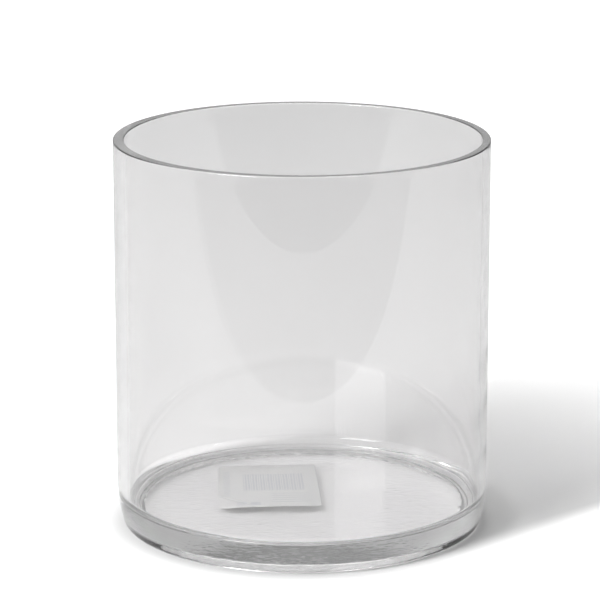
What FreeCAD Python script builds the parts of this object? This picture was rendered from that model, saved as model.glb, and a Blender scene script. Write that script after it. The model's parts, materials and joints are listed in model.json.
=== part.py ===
import FreeCAD, Part
import math
import os
import Sketcher

# A clear glass cylinder vase with a paper stock label stuck to its recessed underside.
# Millimetres. +Z is up. The origin is on the ground, on the axis of the outer wall.
# +X points at the thinner side of the wall, because the bore is a little off centre.

SIZES = [
    # the glass, outside
    ("outer_diameter", 190.0),
    ("total_height", 200.0),
    ("rim_edge_radius", 0.7),
    ("heel_height", 24.0),
    ("heel_sweep_radius", 96.0),
    ("heel_edge_radius", 3.5),
    # the glass, inside
    ("bore_diameter", 180.0),
    ("bore_offset", 0.65),
    ("floor_height", 14.0),
    ("floor_fillet_radius", 5.0),
    # the glass, underneath
    ("ring_inner_diameter", 170.0),
    ("ring_blend_radius", 1.5),
    ("panel_diameter", 165.0),
    ("panel_blend_radius", 1.5),
    ("recess_depth", 4.0),
    # the label
    ("label_width", 52.0),
    ("label_depth", 71.0),
    ("label_corner_radius", 2.0),
    ("label_center_x", -18.0),
    ("label_center_y", 18.0),
    ("label_turn", 3.0),
    ("paper_thickness", 0.1),
    ("adhesive_thickness", 0.03),
    ("ink_thickness", 0.02),
    # the print on the label, measured from the label's centre
    ("bar_module", 0.5),
    ("bar_length", 28.0),
    ("bar_block_left", -13.0),
    ("bar_block_front", -8.0),
    ("dash_thickness", 0.8),
    ("row_left", 1.0),
    ("row_back", -14.0),
    ("row_pitch", 3.5),
    ("column_left", -23.5),
    ("column_front", -18.0),
    ("column_pitch", 2.2),
    ("mark_size", 5.0),
    ("mark_left", -17.0),
    ("mark_front", -33.0),
    ("mark_pitch", 7.0),
]
BAR_COUNT = 24
ROW_COUNT = 5
DASHES_PER_ROW = 5
COLUMN_COUNT = 20
MARK_COUNT = 2

ORIGIN = -1
X_AXIS = -1
Y_AXIS = -2
START = 1
END = 2
TOLERANCE = 0.01
FULL_TURN = 2 * math.pi


def make_sheet(doc):
    """Writes the driving dimensions to a spreadsheet, one alias each."""
    sheet = doc.addObject("Spreadsheet::Sheet", "sizes")
    for row, (name, value) in enumerate(SIZES, start=1):
        sheet.set(f"A{row}", name)
        sheet.set(f"B{row}", str(value))
        sheet.setAlias(f"B{row}", name)
    doc.recompute()
    return sheet


def new_body(doc, name):
    """Adds an empty body whose label names its file."""
    body = doc.addObject("PartDesign::Body", f"{name}_body")
    body.Label = name
    return body


def new_sketch(body, name, role):
    """Adds a sketch on one of the body's own origin planes."""
    sketch = body.newObject("Sketcher::SketchObject", name)
    plane = next(item for item in body.Origin.OriginFeatures if item.Role == role)
    sketch.AttachmentSupport = [(plane, "")]
    sketch.MapMode = "FlatFace"
    return sketch


def dimension(sketch, name, kind, arguments, expression):
    """Adds a named dimension to a sketch and binds it to the spreadsheet."""
    index = sketch.addConstraint(Sketcher.Constraint(kind, *arguments))
    sketch.renameConstraint(index, name)
    sketch.setExpression(f"Constraints.{name}", expression)


def draw_outside(body, sheet):
    """Draws the half section of the outside: wall, heel, standing ring, flank and panel."""
    sketch = new_sketch(body, "outside_section", "XZ_Plane")
    outer_radius = sheet.outer_diameter / 2
    sweep_radius = sheet.heel_sweep_radius
    sweep_center = FreeCAD.Vector(outer_radius - sweep_radius, sheet.heel_height, 0)
    sweep_run = (sweep_radius**2 - sheet.heel_height**2) ** 0.5
    axis_bottom = FreeCAD.Vector(0, sheet.recess_depth, 0)
    axis_top = FreeCAD.Vector(0, sheet.total_height, 0)
    wall_top = FreeCAD.Vector(outer_radius, sheet.total_height, 0)
    wall_bottom = FreeCAD.Vector(outer_radius, sheet.heel_height, 0)
    ring_outside = FreeCAD.Vector(sweep_center.x + sweep_run, 0, 0)
    ring_inside = FreeCAD.Vector(sheet.ring_inner_diameter / 2, 0, 0)
    panel_edge = FreeCAD.Vector(sheet.panel_diameter / 2, sheet.recess_depth, 0)

    axis = sketch.addGeometry(Part.LineSegment(axis_bottom, axis_top), False)
    top = sketch.addGeometry(Part.LineSegment(axis_top, wall_top), False)
    wall = sketch.addGeometry(Part.LineSegment(wall_top, wall_bottom), False)
    ring = sketch.addGeometry(Part.LineSegment(ring_outside, ring_inside), False)
    flank = sketch.addGeometry(Part.LineSegment(ring_inside, panel_edge), False)
    panel = sketch.addGeometry(Part.LineSegment(panel_edge, axis_bottom), False)
    circle = Part.Circle(sweep_center, FreeCAD.Vector(0, 0, 1), sweep_radius)
    angles = (circle.parameter(ring_outside) - FULL_TURN, 0.0)
    heel = sketch.addGeometry(Part.ArcOfCircle(circle, *angles), False)

    joins = [(axis, top), (top, wall), (ring, flank), (flank, panel), (panel, axis)]
    for first, second in joins:
        sketch.addConstraint(Sketcher.Constraint("Coincident", first, END, second, START))
    sketch.addConstraint(Sketcher.Constraint("Coincident", heel, START, ring, START))
    sketch.addConstraint(Sketcher.Constraint("Tangent", wall, END, heel, END))
    sketch.addConstraint(Sketcher.Constraint("PointOnObject", axis, START, Y_AXIS))
    sketch.addConstraint(Sketcher.Constraint("PointOnObject", ring, START, X_AXIS))
    for line in (axis, wall):
        sketch.addConstraint(Sketcher.Constraint("Vertical", line))
    for line in (top, ring, panel):
        sketch.addConstraint(Sketcher.Constraint("Horizontal", line))

    dimension(sketch, "outer_radius", "DistanceX", (ORIGIN, START, wall, START, outer_radius),
              "sizes.outer_diameter / 2")
    dimension(sketch, "height", "DistanceY", (ORIGIN, START, wall, START, wall_top.y),
              "sizes.total_height")
    dimension(sketch, "heel_height", "DistanceY", (ORIGIN, START, wall, END, wall_bottom.y),
              "sizes.heel_height")
    dimension(sketch, "heel_radius", "Radius", (heel, sweep_radius), "sizes.heel_sweep_radius")
    dimension(sketch, "ring_radius", "DistanceX", (ORIGIN, START, ring, END, ring_inside.x),
              "sizes.ring_inner_diameter / 2")
    dimension(sketch, "panel_radius", "DistanceX", (ORIGIN, START, panel, START, panel_edge.x),
              "sizes.panel_diameter / 2")
    dimension(sketch, "recess", "DistanceY", (ORIGIN, START, panel, START, panel_edge.y),
              "sizes.recess_depth")
    return sketch


def edges_at(feature, height, radius):
    """Names the feature's round edges of one radius at one height."""
    names = []
    for number, edge in enumerate(feature.Shape.Edges, start=1):
        if not isinstance(edge.Curve, Part.Circle):
            continue
        same_height = abs(edge.Curve.Center.z - height) < TOLERANCE
        if same_height and abs(edge.Curve.Radius - radius) < TOLERANCE:
            names.append(f"Edge{number}")
    if not names:
        raise RuntimeError(f"no round edge of radius {radius} at height {height}")
    return names


def round_edges(body, name, circles, radius_alias):
    """Fillets the round edges given as (height, radius) pairs on the body's last feature."""
    base = body.Tip
    fillet = body.newObject("PartDesign::Fillet", name)
    names = [edge for height, radius in circles for edge in edges_at(base, height, radius)]
    fillet.Base = (base, names)
    fillet.setExpression("Radius", f"sizes.{radius_alias}")
    body.Document.recompute()
    return fillet


def make_vessel(doc, sheet):
    """Makes the glass: a revolved outside, a bored inside, and every edge melted round."""
    body = new_body(doc, "glass_vessel")
    section = draw_outside(body, sheet)
    outside = body.newObject("PartDesign::Revolution", "outside")
    outside.Profile = section
    outside.ReferenceAxis = (section, ["V_Axis"])
    outside.Angle = 360
    doc.recompute()

    mouth = new_sketch(body, "mouth_circle", "XY_Plane")
    mouth.setExpression("AttachmentOffset.Base.z", "sizes.total_height")
    bore_radius = sheet.bore_diameter / 2
    center = FreeCAD.Vector(sheet.bore_offset, 0, 0)
    mouth.addGeometry(Part.Circle(center, FreeCAD.Vector(0, 0, 1), bore_radius), False)
    mouth.addConstraint(Sketcher.Constraint("PointOnObject", 0, 3, X_AXIS))
    dimension(mouth, "bore_radius", "Radius", (0, bore_radius), "sizes.bore_diameter / 2")
    dimension(mouth, "bore_offset", "DistanceX", (ORIGIN, START, 0, 3, sheet.bore_offset),
              "sizes.bore_offset")
    inside = body.newObject("PartDesign::Pocket", "inside")
    inside.Profile = mouth
    inside.setExpression("Length", "sizes.total_height - sizes.floor_height")
    doc.recompute()
    if inside.Shape.Volume > 0.5 * outside.Shape.Volume:
        raise RuntimeError("the bore did not hollow the vessel")

    outer_radius = sheet.outer_diameter / 2
    ring_outer_radius = outer_radius - sheet.heel_sweep_radius
    ring_outer_radius += (sheet.heel_sweep_radius**2 - sheet.heel_height**2) ** 0.5
    round_edges(body, "floor_fillet", [(sheet.floor_height, bore_radius)], "floor_fillet_radius")
    round_edges(body, "heel_edge", [(0, ring_outer_radius)], "heel_edge_radius")
    round_edges(body, "ring_blend", [(0, sheet.ring_inner_diameter / 2)], "ring_blend_radius")
    round_edges(body, "panel_blend", [(sheet.recess_depth, sheet.panel_diameter / 2)],
                "panel_blend_radius")
    rim_circles = [(sheet.total_height, outer_radius), (sheet.total_height, bore_radius)]
    round_edges(body, "rim_edges", rim_circles, "rim_edge_radius")
    return body


def place_on_label(piece, height):
    """Puts a piece at the label's place, turned like the label, with its foot at a height."""
    piece.Placement = FreeCAD.Placement(FreeCAD.Vector(), FreeCAD.Rotation(0.001, 0, 0))
    piece.setExpression("Placement.Base.x", "sizes.label_center_x")
    piece.setExpression("Placement.Base.y", "sizes.label_center_y")
    piece.setExpression("Placement.Base.z", height)
    piece.setExpression("Placement.Rotation.Angle", "sizes.label_turn * 1 deg")


def make_label_layer(doc, sheet, name, thickness, height):
    """Makes one layer of the label: a rectangle with round corners, padded to its thickness."""
    body = new_body(doc, name)
    sketch = new_sketch(body, f"{name}_outline", "XY_Plane")
    half_width = sheet.label_width / 2
    half_depth = sheet.label_depth / 2
    corners = [
        FreeCAD.Vector(-half_width, -half_depth, 0),
        FreeCAD.Vector(half_width, -half_depth, 0),
        FreeCAD.Vector(half_width, half_depth, 0),
        FreeCAD.Vector(-half_width, half_depth, 0),
    ]
    for index, corner in enumerate(corners):
        sketch.addGeometry(Part.LineSegment(corner, corners[(index + 1) % 4]), False)
    for index in range(4):
        following = (index + 1) % 4
        sketch.addConstraint(Sketcher.Constraint("Coincident", index, END, following, START))
        direction = ("Horizontal", "Vertical")[index % 2]
        sketch.addConstraint(Sketcher.Constraint(direction, index))
    sketch.addConstraint(Sketcher.Constraint("Symmetric", 0, START, 1, END, ORIGIN, START))
    dimension(sketch, "width", "DistanceX", (0, START, 0, END, sheet.label_width),
              "sizes.label_width")
    dimension(sketch, "depth", "DistanceY", (1, START, 1, END, sheet.label_depth),
              "sizes.label_depth")
    pad = body.newObject("PartDesign::Pad", f"{name}_pad")
    pad.Profile = sketch
    pad.setExpression("Length", f"sizes.{thickness}")
    doc.recompute()
    upright = [
        f"Edge{number}"
        for number, edge in enumerate(pad.Shape.Edges, start=1)
        if abs(edge.Vertexes[0].Z - edge.Vertexes[-1].Z) > TOLERANCE
    ]
    corner = body.newObject("PartDesign::Fillet", f"{name}_corners")
    corner.Base = (pad, upright)
    corner.setExpression("Radius", "sizes.label_corner_radius")
    place_on_label(body, height)
    return body


def ink_box(doc, name, left, front, width, depth):
    """Makes one printed block. Its place and size are expressions in the label's plane."""
    block = doc.addObject("Part::Box", name)
    block.setExpression("Placement.Base.x", left)
    block.setExpression("Placement.Base.y", front)
    block.setExpression("Length", width)
    block.setExpression("Width", depth)
    block.setExpression("Height", "sizes.ink_thickness")
    return block


def make_bars(doc):
    """Makes the block of upright bars, one to three modules wide in a repeating pattern."""
    bars = []
    modules_used = 0
    for index in range(BAR_COUNT):
        modules = 1 + (index * index) % 3
        left = f"sizes.bar_block_left + {modules_used} * sizes.bar_module"
        width = f"{modules} * sizes.bar_module"
        bars.append(ink_box(doc, f"bar_{index}", left, "sizes.bar_block_front",
                            width, "sizes.bar_length"))
        modules_used += modules + 1
    return bars


def make_rows(doc):
    """Makes the short rows of dashes in front of the bars."""
    dashes = []
    for row in range(ROW_COUNT):
        front = f"sizes.row_back - {row} * sizes.row_pitch"
        for index in range(DASHES_PER_ROW):
            left = f"sizes.row_left + {index} * sizes.column_pitch * 2"
            width = f"sizes.column_pitch * (1 + {(index + row) % 2} * 0.6)"
            dashes.append(ink_box(doc, f"row_{row}_{index}", left, front,
                                  width, "sizes.dash_thickness"))
    return dashes


def make_column(doc):
    """Makes the column of dashes along the label's left edge."""
    dashes = []
    for index in range(COLUMN_COUNT):
        front = f"sizes.column_front + {index} * sizes.column_pitch"
        width = f"sizes.column_pitch * (1 + {index % 3} * 0.5)"
        dashes.append(ink_box(doc, f"column_{index}", "sizes.column_left", front,
                              width, "sizes.dash_thickness"))
    return dashes


def make_marks(doc):
    """Makes the plain square marks in the label's front left corner."""
    marks = []
    for index in range(MARK_COUNT):
        left = f"sizes.mark_left + {index} * sizes.mark_pitch"
        marks.append(ink_box(doc, f"mark_{index}", left, "sizes.mark_front",
                             "sizes.mark_size", "sizes.mark_size"))
    return marks


def make_print(doc, height):
    """Groups every printed block as separate solids of one piece."""
    group = doc.addObject("Part::Compound", "label_print_group")
    group.Label = "label_print"
    group.Links = make_bars(doc) + make_rows(doc) + make_column(doc) + make_marks(doc)
    place_on_label(group, height)
    return group


def check(doc, pieces):
    """Stops if any object failed to build or any piece is empty or broken."""
    for item in doc.Objects:
        if "Invalid" in item.State or "Error" in item.State:
            raise RuntimeError(f"{item.Name} failed: {item.State}")
    for piece in pieces:
        if piece.Shape.isNull() or not piece.Shape.isValid():
            raise RuntimeError(f"{piece.Label} has no valid shape")


def main():
    doc = FreeCAD.newDocument("glass_cylinder_vase")
    sheet = make_sheet(doc)
    adhesive_foot = "sizes.recess_depth - sizes.adhesive_thickness"
    paper_foot = f"{adhesive_foot} - sizes.paper_thickness"
    ink_foot = f"{paper_foot} - sizes.ink_thickness"
    pieces = [
        make_vessel(doc, sheet),
        make_label_layer(doc, sheet, "label_adhesive", "adhesive_thickness", adhesive_foot),
        make_label_layer(doc, sheet, "label_paper", "paper_thickness", paper_foot),
        make_print(doc, ink_foot),
    ]
    doc.recompute()
    check(doc, pieces)
    os.makedirs("parts", exist_ok=True)
    for piece in pieces:
        piece.Shape.exportStep(f"parts/{piece.Label}.step")
        box = piece.Shape.BoundBox
        print(piece.Label, len(piece.Shape.Solids), round(piece.Shape.Volume, 2),
              [round(value, 3) for value in (box.XMin, box.YMin, box.ZMin)],
              [round(value, 3) for value in (box.XMax, box.YMax, box.ZMax)])


main()
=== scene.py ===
import json
import math

import bmesh
import bpy
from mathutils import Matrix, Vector, noise


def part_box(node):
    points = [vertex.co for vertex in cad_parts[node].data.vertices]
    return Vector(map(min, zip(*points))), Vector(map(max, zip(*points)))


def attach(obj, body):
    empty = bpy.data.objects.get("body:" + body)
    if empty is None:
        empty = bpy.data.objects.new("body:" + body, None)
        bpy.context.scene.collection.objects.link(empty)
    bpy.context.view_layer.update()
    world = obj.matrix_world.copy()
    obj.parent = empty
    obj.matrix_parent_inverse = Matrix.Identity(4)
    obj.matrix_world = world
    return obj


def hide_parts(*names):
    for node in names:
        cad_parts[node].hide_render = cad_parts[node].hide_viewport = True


# A clear glass cylinder vase with a paper label stuck under its base, on a white sweep.
# Metres, in the CAD model's frame: +Z up, origin on the ground under the outer wall's axis.

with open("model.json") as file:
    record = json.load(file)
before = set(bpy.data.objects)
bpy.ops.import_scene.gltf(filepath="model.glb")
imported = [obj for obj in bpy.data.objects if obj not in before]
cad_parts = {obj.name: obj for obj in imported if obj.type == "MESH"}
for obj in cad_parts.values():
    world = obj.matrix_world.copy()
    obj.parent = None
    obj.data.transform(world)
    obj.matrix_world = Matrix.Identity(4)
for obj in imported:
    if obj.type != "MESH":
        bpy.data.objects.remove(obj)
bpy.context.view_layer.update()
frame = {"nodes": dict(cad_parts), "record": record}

MM = 0.001

# the glass: its outer size comes from the frame, the rest repeats the design's own dimensions
vessel_low, vessel_high = (Vector(corner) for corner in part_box("glass_vessel"))
mounts = {mount["name"]: mount for mount in frame["record"]["mounts"]}
OUTER_RADIUS = vessel_high.x - 0.02 * MM
HEIGHT = vessel_high.z
BORE_RADIUS = mounts["inside_wall"]["dims"]["r_mm"] * MM
BORE_OFFSET = mounts["inside_wall"]["pos_m"][0]
RIM_EDGE = 0.7 * MM
RIM_MIDDLE = BORE_RADIUS + 2.4 * MM
HEEL_HEIGHT = 24.0 * MM
HEEL_SWEEP = 96.0 * MM
HEEL_EDGE = 3.5 * MM
FLOOR_HEIGHT = 14.0 * MM
FLOOR_FILLET = 5.0 * MM
RING_INNER = 85.0 * MM
RING_BLEND = 1.5 * MM
PANEL_RADIUS = 82.5 * MM
PANEL_BLEND = 1.5 * MM
RECESS = 4.0 * MM
TURNS = 512

# the glass's unevenness
INSIDE_WAVE = 0.10 * MM
OUTSIDE_WAVE = 0.05 * MM
WAVE_FADE = 20 * MM
RIPPLE_PITCH = 6.0 * MM
RIPPLE_HEIGHT = 0.15 * MM
RIPPLE_FADE_START = FLOOR_HEIGHT + 35 * MM
RIPPLE_FADE_END = FLOOR_HEIGHT + 100 * MM
MARKS_START = 30 * MM
MARKS_FULL = 45 * MM
MARKS_EDGE_START = 80.5 * MM
MARKS_EDGE_FULL = 83 * MM
BROAD_MARK = 0.6 * MM
COARSE_MARK = 0.10 * MM
FINE_MARK = 0.05 * MM

# the label
LABEL_CENTER = Vector((-18.0, 18.0)) * MM
LABEL_TURN = 3.0
LABEL_WIDTH = 52.0 * MM
LABEL_DEPTH = 71.0 * MM
LABEL_CORNER = 2.0 * MM
PAPER = 0.1 * MM
ADHESIVE = 0.03 * MM
LABEL_SINK = 0.02 * MM
LAYER_GAP = 0.005 * MM
PEEL_FOLD = 42.0 * MM
PEEL_REACH = 27.0 * MM
PEEL_DROP = 1.2 * MM

# The print as it shows through the paper, in millimetres from the label's centre. Each block has
# its left, right, front and back, the axis along which its strips repeat, their pitch, and where
# each strip starts and ends within the pitch.
SHOW_THROUGH = [
    ((-13.0, 19.0, -8.0, 20.0), "X", 4.0, [(0.0, 0.5), (1.0, 2.0), (2.5, 3.5)]),
    ((1.0, 21.0, -28.0, -13.2), "Y", 3.5, [(0.0, 0.8)]),
    ((-23.5, -20.0, -18.0, 25.0), "Y", 2.2, [(0.0, 0.8)]),
    ((-17.0, -5.0, -33.0, -28.0), "X", 7.0, [(0.0, 5.0)]),
]


# ---------------------------------------------------------------- profile

def rounded(corners):
    """Turns corners (r, z, fillet radius) into a line whose corners are arcs."""
    line = [Vector(corners[0][:2])]
    for before, here, after in zip(corners, corners[1:], corners[2:]):
        point = Vector(here[:2])
        radius = here[2]
        to_before = (Vector(before[:2]) - point).normalized()
        to_after = (Vector(after[:2]) - point).normalized()
        if radius == 0:
            line.append(point)
            continue
        half = to_before.angle(to_after) / 2
        reach = radius / math.tan(half)
        center = point + (to_before + to_after).normalized() * radius / math.sin(half)
        start = point + to_before * reach - center
        end = point + to_after * reach - center
        sweep = start.angle_signed(end)
        count = max(4, math.ceil(abs(sweep) / math.radians(6)))
        for step in range(count + 1):
            angle = -sweep * step / count
            turned = Vector((start.x * math.cos(angle) - start.y * math.sin(angle),
                             start.x * math.sin(angle) + start.y * math.cos(angle)))
            line.append(center + turned)
    line.append(Vector(corners[-1][:2]))
    return line


def heel_corners():
    """Points up the gentle sweep of the heel, from the standing ring to the straight wall."""
    center = OUTER_RADIUS - HEEL_SWEEP
    full = math.asin(HEEL_HEIGHT / HEEL_SWEEP)
    corners = []
    for step in range(13):
        angle = full * (1 - step / 12)
        radius = center + HEEL_SWEEP * math.cos(angle)
        corners.append((radius, HEEL_HEIGHT - HEEL_SWEEP * math.sin(angle), 0.0))
    corners[0] = (*corners[0][:2], HEEL_EDGE)
    del corners[1]
    return corners


def outside_line():
    """The half section under and outside, from the middle of the panel to the rim's outer edge."""
    under = [(0.0, RECESS, 0.0), (PANEL_RADIUS, RECESS, PANEL_BLEND), (RING_INNER, 0.0, RING_BLEND)]
    wall = [(OUTER_RADIUS, HEIGHT, RIM_EDGE), (RIM_MIDDLE, HEIGHT, 0.0)]
    return rounded(under + heel_corners() + wall)


def inside_line():
    """The half section inside, from the rim's inner edge to the middle of the floor."""
    return rounded([
        (RIM_MIDDLE, HEIGHT, 0.0),
        (BORE_RADIUS, HEIGHT, RIM_EDGE),
        (BORE_RADIUS, FLOOR_HEIGHT, FLOOR_FILLET),
        (0.0, FLOOR_HEIGHT, 0.0),
    ])


def resampled(line, spacing):
    """Divides a line's long runs so that no step is longer than spacing(point) allows."""
    points = [line[0]]
    for start, end in zip(line, line[1:]):
        middle = (start + end) / 2
        count = max(1, math.ceil((end - start).length / spacing(middle)))
        points += [start.lerp(end, step / count) for step in range(1, count + 1)]
    return points


# ---------------------------------------------------------------- glass

def fine_steps(point):
    """The longest step along the half section near a point: short where the glass is textured."""
    if point.y < RECESS + 0.1 * MM and point.x > MARKS_START:
        return 0.7 * MM
    if point.y > HEEL_HEIGHT + 60 * MM:
        return 5 * MM
    return 1.2 * MM if point.x > PANEL_RADIUS else 4 * MM


def smooth_step(low, high, value):
    """Goes smoothly from 0 to 1 while a value goes from low to high."""
    share = min(1.0, max(0.0, (value - low) / (high - low)))
    return share * share * (3 - 2 * share)


def label_frame(x, y):
    """The position across and along the label of a point under the floor, from its centre."""
    turn = math.radians(LABEL_TURN)
    dx, dy = x - LABEL_CENTER.x, y - LABEL_CENTER.y
    return (dx * math.cos(turn) + dy * math.sin(turn),
            dy * math.cos(turn) - dx * math.sin(turn))


def chill(x, y, radius, height):
    """The mould's crinkled texture under the base, around the label, as a rise in metres."""
    if radius > RING_INNER - 0.5 * MM or height > RECESS + 0.1 * MM:
        return 0.0
    u, v = label_frame(x, y)
    beside = max(abs(u) - LABEL_WIDTH / 2, abs(v) - LABEL_DEPTH / 2)
    window = smooth_step(1 * MM, 5 * MM, beside) * smooth_step(MARKS_START, MARKS_FULL, radius)
    edge = smooth_step(MARKS_EDGE_START, MARKS_EDGE_FULL, radius)
    place = Vector((x, y, 0)) / MM
    broad = noise.noise(place / 8 + Vector((0, 70, 0)))
    coarse = noise.noise(place / 3.2)
    fine = noise.noise(place / 1.4 + Vector((40, 0, 0)))
    rise = (0.5 + 0.5 * edge) * (COARSE_MARK * abs(coarse) + FINE_MARK * abs(fine))
    return window * (rise + BROAD_MARK * edge * max(0.0, broad))


def unevenness(angle, height):
    """The wall's slow upright waves, between -1 and 1."""
    return noise.noise(Vector((math.cos(angle) * 2.2, math.sin(angle) * 2.2, height / (90 * MM))))


def ripples(angle, height):
    """Level ripples low on the inside wall, strongest to the right, between -1 and 1."""
    fade = 1 - smooth_step(RIPPLE_FADE_START, RIPPLE_FADE_END, height)
    fade *= smooth_step(FLOOR_HEIGHT + FLOOR_FILLET, FLOOR_HEIGHT + 1.5 * FLOOR_FILLET, height)
    drift = noise.noise(Vector((math.cos(angle), math.sin(angle), 7.0)))
    strength = max(0.0, math.cos(angle)) ** 8
    return fade * strength * math.sin(2 * math.pi * height / RIPPLE_PITCH + 3 * drift)


def glass_mesh():
    """Lathes the half section and adds the unevenness that blown glass has."""
    outside = resampled(outside_line(), fine_steps)
    inside = resampled(inside_line(), fine_steps)
    rings = [(point.x, point.y, 0.0) for point in outside]
    rings += [(point.x, point.y, 1.0) for point in inside[1:]]
    verts = []
    for radius, height, inner in rings:
        if radius < 1e-7:
            verts.append((inner * BORE_OFFSET, 0.0, height))
            continue
        on_wall = HEEL_HEIGHT < height < HEIGHT - RIM_EDGE
        for turn in range(TURNS):
            angle = 2 * math.pi * turn / TURNS
            r, z = radius, height
            if inner and height > FLOOR_HEIGHT + 0.5 * MM and height < HEIGHT - RIM_EDGE:
                r += INSIDE_WAVE * unevenness(angle, height + HEIGHT)
                r += RIPPLE_HEIGHT * ripples(angle, height)
            elif not inner and on_wall:
                fade = smooth_step(HEEL_HEIGHT, HEEL_HEIGHT + WAVE_FADE, height)
                r -= fade * OUTSIDE_WAVE * (1 + unevenness(angle, height))
            x = r * math.cos(angle)
            y = r * math.sin(angle)
            if not inner:
                z += chill(x, y, radius, height)
            verts.append((x + inner * BORE_OFFSET, y, z))
    faces = []
    last_ring = len(rings) - 1
    for ring in range(1, last_ring - 1):
        start = 1 + (ring - 1) * TURNS
        for turn in range(TURNS):
            following = (turn + 1) % TURNS
            faces.append((start + turn, start + following,
                          start + TURNS + following, start + TURNS + turn))
    top_start = 1 + (last_ring - 2) * TURNS
    for turn in range(TURNS):
        following = (turn + 1) % TURNS
        faces.append((0, 1 + following, 1 + turn))
        faces.append((len(verts) - 1, top_start + turn, top_start + following))
    mesh = bpy.data.meshes.new("vessel_glass")
    mesh.from_pydata(verts, [], faces)
    mesh.validate()
    mesh.shade_smooth()
    return mesh


def nodes_of(material):
    """Switches a material to nodes and returns its nodes and links."""
    material.use_nodes = True
    return material.node_tree.nodes, material.node_tree.links


def range_node(nodes, low, high, start, end):
    """A smooth change from start to end while a value goes from low to high."""
    node = nodes.new("ShaderNodeMapRange")
    node.interpolation_type = "SMOOTHSTEP"
    for name, value in (("From Min", low), ("From Max", high), ("To Min", start), ("To Max", end)):
        node.inputs[name].default_value = value
    return node


def vector_node(nodes, operation):
    """Adds one vector sum."""
    node = nodes.new("ShaderNodeVectorMath")
    node.operation = operation
    return node


def math_node(nodes, links, operation, *values):
    """Adds one sum. Each value is a number or another node's output."""
    node = nodes.new("ShaderNodeMath")
    node.operation = operation
    for socket, value in zip(node.inputs, values):
        if isinstance(value, (int, float)):
            socket.default_value = value
        else:
            links.new(value, socket)
    return node.outputs["Value"]


def glass_material():
    """Clear soda-lime glass, faintly grey, whose ground rim scatters some of the light."""
    material = bpy.data.materials.new("clear_glass")
    nodes, links = nodes_of(material)
    shader = nodes["Principled BSDF"]
    shader.inputs["Base Color"].default_value = (0.992, 0.988, 0.990, 1)
    shader.inputs["Roughness"].default_value = 0.0
    shader.inputs["IOR"].default_value = 1.52
    place = nodes.new("ShaderNodeTexCoord")
    level = nodes.new("ShaderNodeSeparateXYZ")
    ground_rim = range_node(nodes, HEIGHT - 0.15 * MM, HEIGHT - 0.05 * MM, 1.0, 0.79)
    links.new(place.outputs["Object"], level.inputs["Vector"])
    links.new(level.outputs["Z"], ground_rim.inputs["Value"])
    links.new(ground_rim.outputs["Result"], shader.inputs["Transmission Weight"])
    waves = nodes.new("ShaderNodeTexNoise")
    waves.inputs["Scale"].default_value = 60.0
    waves.inputs["Detail"].default_value = 2.0
    bump = nodes.new("ShaderNodeBump")
    bump.inputs["Strength"].default_value = 0.02
    bump.inputs["Distance"].default_value = 0.0005
    links.new(place.outputs["Object"], waves.inputs["Vector"])
    links.new(waves.outputs["Fac"], bump.inputs["Height"])
    links.new(bump.outputs["Normal"], shader.inputs["Normal"])
    depth = nodes.new("ShaderNodeVolumeAbsorption")
    depth.inputs["Color"].default_value = (0.862, 0.864, 0.863, 1)
    depth.inputs["Density"].default_value = 22.0
    links.new(depth.outputs["Volume"], nodes["Material Output"].inputs["Volume"])
    return material


def make_vessel():
    """The glass, in place of the CAD's plain one."""
    vessel = bpy.data.objects.new("vessel_glass", glass_mesh())
    bpy.context.collection.objects.link(vessel)
    vessel.data.materials.append(glass_material())
    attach(vessel, "root")
    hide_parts("glass_vessel")
    return vessel


# ---------------------------------------------------------------- label

def fibrous_material(name, color, roughness):
    """A material whose colour varies a little, as paper's fibres make it do."""
    material = bpy.data.materials.new(name)
    nodes, links = nodes_of(material)
    shader = nodes["Principled BSDF"]
    shader.inputs["Roughness"].default_value = roughness
    place = nodes.new("ShaderNodeTexCoord")
    fibres = nodes.new("ShaderNodeTexNoise")
    fibres.inputs["Scale"].default_value = 1400.0
    tones = nodes.new("ShaderNodeMix")
    tones.data_type = "RGBA"
    tones.inputs["A"].default_value = (*(0.95 * part for part in color), 1)
    tones.inputs["B"].default_value = (*(1.05 * part for part in color), 1)
    links.new(place.outputs["Object"], fibres.inputs["Vector"])
    links.new(fibres.outputs["Fac"], tones.inputs["Factor"])
    links.new(tones.outputs["Result"], shader.inputs["Base Color"])
    return material


def label_place(u, v):
    """The floor position of a point given across and along the label, from its centre."""
    turn = math.radians(LABEL_TURN)
    return (LABEL_CENTER.x + u * math.cos(turn) - v * math.sin(turn),
            LABEL_CENTER.y + u * math.sin(turn) + v * math.cos(turn))


def peel(x, y):
    """How far the label hangs down at a floor position: its front left corner has come loose."""
    u, v = label_frame(x, y)
    past_fold = max(0.0, -(u + 1.1 * v) - PEEL_FOLD)
    return PEEL_DROP * min(1.0, past_fold / PEEL_REACH) ** 2


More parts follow.
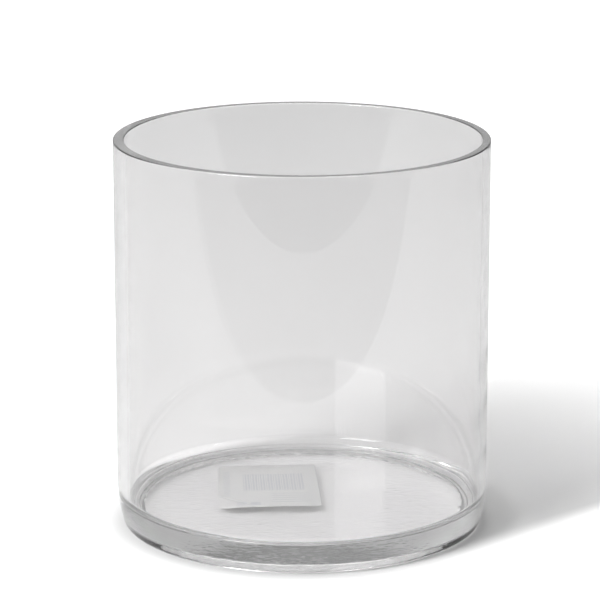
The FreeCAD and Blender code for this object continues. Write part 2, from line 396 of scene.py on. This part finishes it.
def layer_mesh(name, top, thickness):
    """A thin closed sheet with round corners, as a grid fine enough to curl."""
    across, along = 52, 71
    half_u, half_v = LABEL_WIDTH / 2, LABEL_DEPTH / 2
    verts = []
    for level in (top, top - thickness):
        for row in range(along + 1):
            for column in range(across + 1):
                u = half_u * (2 * column / across - 1)
                v = half_v * (2 * row / along - 1)
                over_u = abs(u) - (half_u - LABEL_CORNER)
                over_v = abs(v) - (half_v - LABEL_CORNER)
                if over_u > 0 and over_v > 0:
                    shrink = LABEL_CORNER / max(LABEL_CORNER, math.hypot(over_u, over_v))
                    u = math.copysign(half_u - LABEL_CORNER + over_u * shrink, u)
                    v = math.copysign(half_v - LABEL_CORNER + over_v * shrink, v)
                x, y = label_place(u, v)
                verts.append((x, y, level - peel(x, y)))
    stride = across + 1
    under = stride * (along + 1)
    faces = []
    for row in range(along):
        for column in range(across):
            corner = row * stride + column
            quad = (corner, corner + 1, corner + stride + 1, corner + stride)
            faces.append(quad)
            faces.append(tuple(under + index for index in reversed(quad)))
    rim = list(range(across))
    rim += [row * stride + across for row in range(along)]
    rim += [along * stride + column for column in range(across, 0, -1)]
    rim += [row * stride for row in range(along, 0, -1)]
    for here, following in zip(rim, rim[1:] + rim[:1]):
        faces.append((here, under + here, under + following, following))
    mesh = bpy.data.meshes.new(name)
    mesh.from_pydata(verts, [], faces)
    mesh.validate()
    return mesh


def make_label_piece(name, mesh, material):
    """Adds an object that carries one mesh and one material."""
    piece = bpy.data.objects.new(name, mesh)
    bpy.context.collection.objects.link(piece)
    mesh.materials.clear()
    mesh.materials.append(material)
    return piece


def print_mesh():
    """The CAD print, cut finer and bent with the label."""
    bm = bmesh.new()
    bm.from_mesh(frame["nodes"]["label_print"].data)
    for step in range(12):
        cut = [edge for edge in bm.edges if edge.calc_length() > 2.2 * MM]
        if not cut:
            break
        bmesh.ops.subdivide_edges(bm, edges=cut, cuts=1)
    for vert in bm.verts:
        vert.co.z -= peel(vert.co.x, vert.co.y)
    mesh = bpy.data.meshes.new("sticker_print")
    bm.to_mesh(mesh)
    bm.free()
    return mesh


def band(nodes, links, value, low, high):
    """A mask that is 1 while a value lies between two limits."""
    return math_node(nodes, links, "COMPARE", value, (low + high) / 2, (high - low) / 2)


def product(nodes, links, *masks):
    """Multiplies masks, so that the result is 1 only where all of them are."""
    result = masks[0]
    for mask in masks[1:]:
        result = math_node(nodes, links, "MULTIPLY", result, mask)
    return result


def show_through(nodes, links):
    """The print's outline as it shows through the paper: bars, rows, a column and two marks."""
    place = nodes.new("ShaderNodeTexCoord")
    turned = nodes.new("ShaderNodeMapping")
    turned.vector_type = "TEXTURE"
    turned.inputs["Location"].default_value = (LABEL_CENTER.x, LABEL_CENTER.y, 0)
    turned.inputs["Rotation"].default_value = (0, 0, math.radians(LABEL_TURN))
    turned.inputs["Scale"].default_value = (MM, MM, MM)
    links.new(place.outputs["Object"], turned.inputs["Vector"])
    parts = nodes.new("ShaderNodeSeparateXYZ")
    links.new(turned.outputs["Vector"], parts.inputs["Vector"])
    u, v = parts.outputs["X"], parts.outputs["Y"]
    total = 0.0
    for (left, right, front, back), axis, pitch, strips in SHOW_THROUGH:
        block = product(nodes, links, band(nodes, links, u, left, right),
                        band(nodes, links, v, front, back))
        value, start = (u, left) if axis == "X" else (v, front)
        from_start = math_node(nodes, links, "SUBTRACT", value, start)
        within_pitch = math_node(nodes, links, "FLOORED_MODULO", from_start, pitch)
        for low, high in strips:
            strip = product(nodes, links, block, band(nodes, links, within_pitch, low, high))
            total = math_node(nodes, links, "ADD", total, strip)
    return total


def coat_material():
    """The adhesive, wet out on the glass: from above it looks like the paper's back."""
    material = bpy.data.materials.new("label_adhesive")
    nodes, links = nodes_of(material)
    shader = nodes["Principled BSDF"]
    shader.inputs["Roughness"].default_value = 0.5
    mix = nodes.new("ShaderNodeMix")
    mix.data_type = "RGBA"
    mix.inputs["A"].default_value = (0.91, 0.91, 0.905, 1)
    mix.inputs["B"].default_value = (0.76, 0.77, 0.79, 1)
    links.new(show_through(nodes, links), mix.inputs["Factor"])
    links.new(mix.outputs["Result"], shader.inputs["Base Color"])
    return material


def make_label():
    """The label's three layers, in place of the CAD's flat ones."""
    top = RECESS + LABEL_SINK
    adhesive = coat_material()
    paper = fibrous_material("label_paper", (0.86, 0.86, 0.85), 0.6)
    ink = fibrous_material("label_ink", (0.05, 0.05, 0.05), 0.6)
    coat = LABEL_SINK + ADHESIVE - LAYER_GAP
    adhesive_mesh = layer_mesh("sticker_adhesive", top, coat)
    paper_mesh = layer_mesh("sticker_paper", RECESS - ADHESIVE, PAPER - LAYER_GAP)
    pieces = {
        "label_adhesive": make_label_piece("sticker_adhesive", adhesive_mesh, adhesive),
        "label_paper": make_label_piece("sticker_paper", paper_mesh, paper),
        "label_print": make_label_piece("sticker_print", print_mesh(), ink),
    }
    for node, piece in pieces.items():
        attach(piece, "root")
        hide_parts(node)


# ---------------------------------------------------------------- stage, light and camera

FLOOR_FRONT = -0.40
FLOOR_BACK = 3.2
FLOOR_HALF_WIDTH = 3.0
SWEEP_RADIUS = 1.0
SHADOW_AZIMUTH = 45


def make_stage():
    """A white table that ends close in front of the vase and sweeps up far behind it."""
    line = [(FLOOR_FRONT, 0.0), (FLOOR_BACK, 0.0)]
    for step in range(1, 17):
        angle = math.pi / 2 * step / 16
        line.append((FLOOR_BACK + SWEEP_RADIUS * math.sin(angle), SWEEP_RADIUS * (1 - math.cos(angle))))
    line.append((FLOOR_BACK + SWEEP_RADIUS, 3.0))
    verts = [(side * FLOOR_HALF_WIDTH, y, z) for y, z in line for side in (-1, 1)]
    faces = [(2 * i, 2 * i + 1, 2 * i + 3, 2 * i + 2) for i in range(len(line) - 1)]
    mesh = bpy.data.meshes.new("sweep")
    mesh.from_pydata(verts, [], faces)
    mesh.shade_smooth()
    sweep = bpy.data.objects.new("sweep", mesh)
    bpy.context.collection.objects.link(sweep)
    material = bpy.data.materials.new("white_sweep")
    nodes, links = nodes_of(material)
    shader = nodes["Principled BSDF"]
    shader.inputs["Roughness"].default_value = 1.0
    shader.inputs["Specular IOR Level"].default_value = 0.0
    mesh.materials.append(material)
    # The sweep's material paints light and shade: a glow that only the camera sees, and colours that
    # change with the distance from the vase.
    paint_camera_glow(nodes, links, shader)


def paint_camera_glow(nodes, links, shader):
    """Paints a glow on the sweep that only the camera sees, so that it looks pure white except in the
    vase's shadow.
    """
    place = nodes.new("ShaderNodeTexCoord")
    rays = nodes.new("ShaderNodeLightPath")
    distance = vector_node(nodes, "LENGTH")
    links.new(place.outputs["Object"], distance.inputs[0])
    # Painted light and shade: for light bouncing in the scene, the sweep is lighter under the vase and
    # darker away from it, standing in for light that falls off.
    painted_shade_ramp = range_node(nodes, 0.085, 0.14, 0.88, 0.67)
    links.new(distance.outputs["Value"], painted_shade_ramp.inputs["Value"])
    # The camera sees a darker copy of the sweep's colour, which the painted glow below brightens.
    tone = range_node(nodes, 0.0, 1.0, 0.0, 0.60)
    links.new(rays.outputs["Is Camera Ray"], tone.inputs["Value"])
    links.new(painted_shade_ramp.outputs["Result"], tone.inputs["To Min"])
    links.new(tone.outputs["Result"], shader.inputs["Base Color"])
    # The strip behind the vase, along which its shadow falls, is left without the painted glow.
    turn = math.radians(SHADOW_AZIMUTH)
    along = vector_node(nodes, "DOT_PRODUCT")
    along.inputs[1].default_value = (math.sin(turn), math.cos(turn), 0)
    links.new(place.outputs["Object"], along.inputs[0])
    behind = math_node(nodes, links, "MAXIMUM", along.outputs["Value"], 0.0)
    axis = vector_node(nodes, "SCALE")
    axis.inputs[0].default_value = along.inputs[1].default_value
    links.new(behind, axis.inputs["Scale"])
    beside = vector_node(nodes, "DISTANCE")
    links.new(place.outputs["Object"], beside.inputs[0])
    links.new(axis.outputs["Vector"], beside.inputs[1])
    # Painted light: the sweep glows beside the shadow strip, and more the farther it lies from the
    # vase.
    outside = range_node(nodes, 0.088, 0.110, 0.0, 0.50)
    links.new(beside.outputs["Value"], outside.inputs["Value"])
    far = range_node(nodes, 0.10, 0.45, 0.0, 0.60)
    links.new(distance.outputs["Value"], far.inputs["Value"])
    either = math_node(nodes, links, "MAXIMUM", outside.outputs["Result"], far.outputs["Result"])
    # The painted glow is seen by the camera alone.
    painted_glow = product(nodes, links, either, rays.outputs["Is Camera Ray"])
    shader.inputs["Emission Color"].default_value = (1, 1, 1, 1)
    links.new(painted_glow, shader.inputs["Emission Strength"])


def softbox(name, place, target, width, height, radiance):
    """A rectangular light aimed at a point. Its power follows from its size and radiance."""
    data = bpy.data.lights.new(name, "AREA")
    data.shape = "RECTANGLE"
    data.size = width
    data.size_y = height
    data.energy = radiance * math.pi * width * height
    light = bpy.data.objects.new(name, data)
    light.location = place
    light.rotation_euler = (Vector(target) - Vector(place)).to_track_quat("-Z", "Y").to_euler()
    bpy.context.collection.objects.link(light)
    return light


def around(azimuth, distance, height):
    """A place to the front left of the vase, an angle away from straight in front."""
    turn = math.radians(azimuth)
    return (-distance * math.sin(turn), -distance * math.cos(turn), height)


def make_lights():
    """Two lights at the front left, one overhead, and a dim room that is lighter to the left."""
    softbox("window", around(40, 3.2, 1.0), (0, 0, 0.1), 2.1, 1.9, 2.7)
    softbox("key_softbox", around(45, 2.6, 2.2), (0, 0, 0), 1.2, 1.2, 20.0)
    softbox("ceiling_softbox", (0, 0.4, 2.6), (0, 0.4, 0), 5.0, 4.2, 0.88)
    world = bpy.data.worlds.new("room")
    world.use_nodes = True
    nodes, links = world.node_tree.nodes, world.node_tree.links
    place = nodes.new("ShaderNodeTexCoord")
    sides = nodes.new("ShaderNodeSeparateXYZ")
    tone = nodes.new("ShaderNodeMapRange")
    tone.inputs["From Min"].default_value = -0.6
    tone.inputs["From Max"].default_value = 0.3
    tone.inputs["To Min"].default_value = 0.42
    tone.inputs["To Max"].default_value = 0.20
    links.new(place.outputs["Generated"], sides.inputs["Vector"])
    links.new(sides.outputs["X"], tone.inputs["Value"])
    links.new(tone.outputs["Result"], nodes["Background"].inputs["Color"])
    bpy.context.scene.world = world


def make_camera():
    """A long lens, looking down on the vase by about 14 degrees."""
    data = bpy.data.cameras.new("camera")
    data.sensor_width = 36.0
    data.lens = 195.58
    data.shift_x = -0.0032
    camera = bpy.data.objects.new("camera", data)
    camera.location = (0.0, -1.6066, 0.528)
    camera.rotation_euler = (math.radians(90 - 14.40), 0, 0)
    bpy.context.collection.objects.link(camera)
    bpy.context.scene.camera = camera


def settle_view():
    """Plain colours, and enough bounces for light to cross the glass many times."""
    scene = bpy.context.scene
    scene.view_settings.view_transform = "Standard"
    scene.cycles.blur_glossy = 0.0
    scene.cycles.max_bounces = 32
    scene.cycles.transmission_bounces = 24
    scene.cycles.glossy_bounces = 12
    scene.cycles.diffuse_bounces = 8
    scene.cycles.transparent_max_bounces = 16


make_vessel()
make_label()
make_stage()
make_lights()
make_camera()
settle_view()
